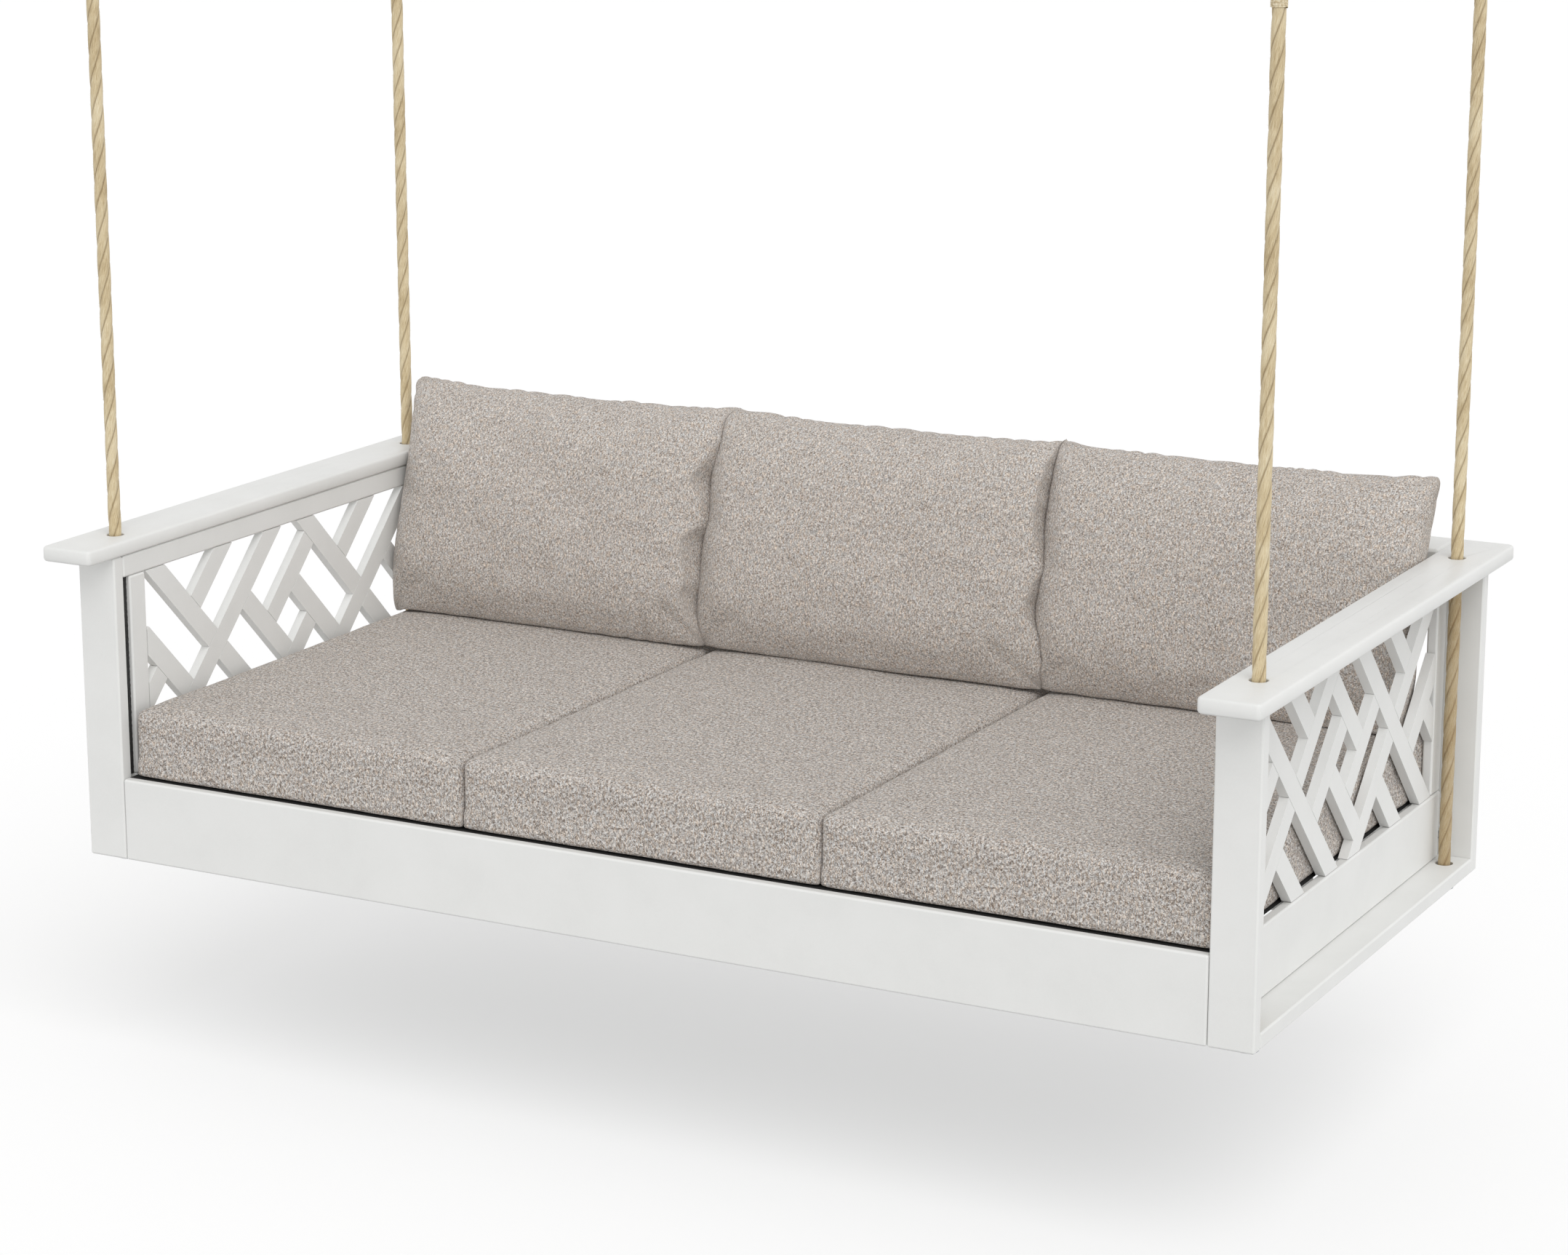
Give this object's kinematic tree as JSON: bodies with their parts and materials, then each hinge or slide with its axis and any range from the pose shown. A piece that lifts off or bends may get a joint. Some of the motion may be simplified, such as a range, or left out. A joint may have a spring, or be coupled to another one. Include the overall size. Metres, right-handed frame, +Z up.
{
  "type": "porch swing seat",
  "caption": "Hanging daybed swing: lattice-sided frame with board arms, seat and back cushions, hung from ropes at its four corners.",
  "frame": {"origin": "middle of the four ceiling plates, level with their top faces, where the ropes hang from", "axes": "+X along the seat, to the right as seen from the front; +Y from the front towards the back; +Z up"},
  "size_m": [2.138, 1.15, 1.6163],
  "materials": {
    "white_polymer": "satin white-grey recycled plastic lumber, slightly mottled",
    "rope_fibre": "tan three-strand twisted rope with loose fibres",
    "cushion_cloth": "warm grey-beige heather outdoor weave",
    "steel": "plain galvanised or stainless steel"
  },
  "bodies": {
    "ceiling_hangers": {"ceiling_hanger_front_left": "steel", "ceiling_hanger_front_right": "steel", "ceiling_hanger_rear_left": "steel", "ceiling_hanger_rear_right": "steel"},
    "front_ropes": {"rope_eye_front_left": "rope_fibre", "rope_eye_front_right": "rope_fibre", "upper_rope_front_left": "rope_fibre", "upper_rope_front_right": "rope_fibre"},
    "rear_ropes": {"rope_eye_rear_left": "rope_fibre", "rope_eye_rear_right": "rope_fibre", "upper_rope_rear_left": "rope_fibre", "upper_rope_rear_right": "rope_fibre"},
    "seat": {"apron_bolt_left": "steel", "apron_bolt_right": "steel", "arm_left": "white_polymer", "arm_right": "white_polymer", "back_cap": "white_polymer", "back_cushion_1": "cushion_cloth", "back_cushion_2": "cushion_cloth", "back_cushion_3": "cushion_cloth", "back_lattice": "white_polymer", "back_rail": "white_polymer", "back_stile_left": "white_polymer", "back_stile_right": "white_polymer", "cross_beam_1": "white_polymer", "cross_beam_2": "white_polymer", "cross_beam_3": "white_polymer", "deck_slat_1": "white_polymer", "deck_slat_2": "white_polymer", "deck_slat_3": "white_polymer", "deck_slat_4": "white_polymer", "front_apron": "white_polymer", "ledge_left": "white_polymer", "ledge_right": "white_polymer", "lower_rope_front_left": "rope_fibre", "lower_rope_front_right": "rope_fibre", "lower_rope_rear_left": "rope_fibre", "lower_rope_rear_right": "rope_fibre", "post_front_left": "white_polymer", "post_front_right": "white_polymer", "post_rear_left": "white_polymer", "post_rear_right": "white_polymer", "rear_apron": "white_polymer", "rope_stop_front_left": "steel", "rope_stop_front_right": "steel", "rope_stop_rear_left": "steel", "rope_stop_rear_right": "steel", "seat_cushion_1": "cushion_cloth", "seat_cushion_2": "cushion_cloth", "seat_cushion_3": "cushion_cloth", "side_apron_left": "white_polymer", "side_apron_right": "white_polymer", "side_lattice_left": "white_polymer", "side_lattice_right": "white_polymer", "side_rail_left": "white_polymer", "side_rail_right": "white_polymer", "side_stile_front_left": "white_polymer", "side_stile_front_right": "white_polymer", "side_stile_rear_left": "white_polymer", "side_stile_rear_right": "white_polymer"}
  },
  "joints": [
    {"name": "front_swing", "type": "hinge", "parent": "ceiling_hangers", "child": "front_ropes", "pos_m": [0, -0.441, -0.035], "axis": [1, 0, 0], "range_deg": [-20, 20]},
    {"name": "rear_swing", "type": "hinge", "parent": "ceiling_hangers", "child": "rear_ropes", "pos_m": [0, 0.441, -0.035], "axis": [1, 0, 0], "range_deg": [-20, 20]},
    {"name": "seat_level", "type": "hinge", "parent": "front_ropes", "child": "seat", "pos_m": [0, -0.441, -1.06], "axis": [1, 0, 0], "range_deg": [-20, 20]}
  ],
  "couplings": [
    {"joint": "rear_swing", "follows": "front_swing", "ratio": 1},
    {"joint": "seat_level", "follows": "front_swing", "ratio": -1}
  ]
}
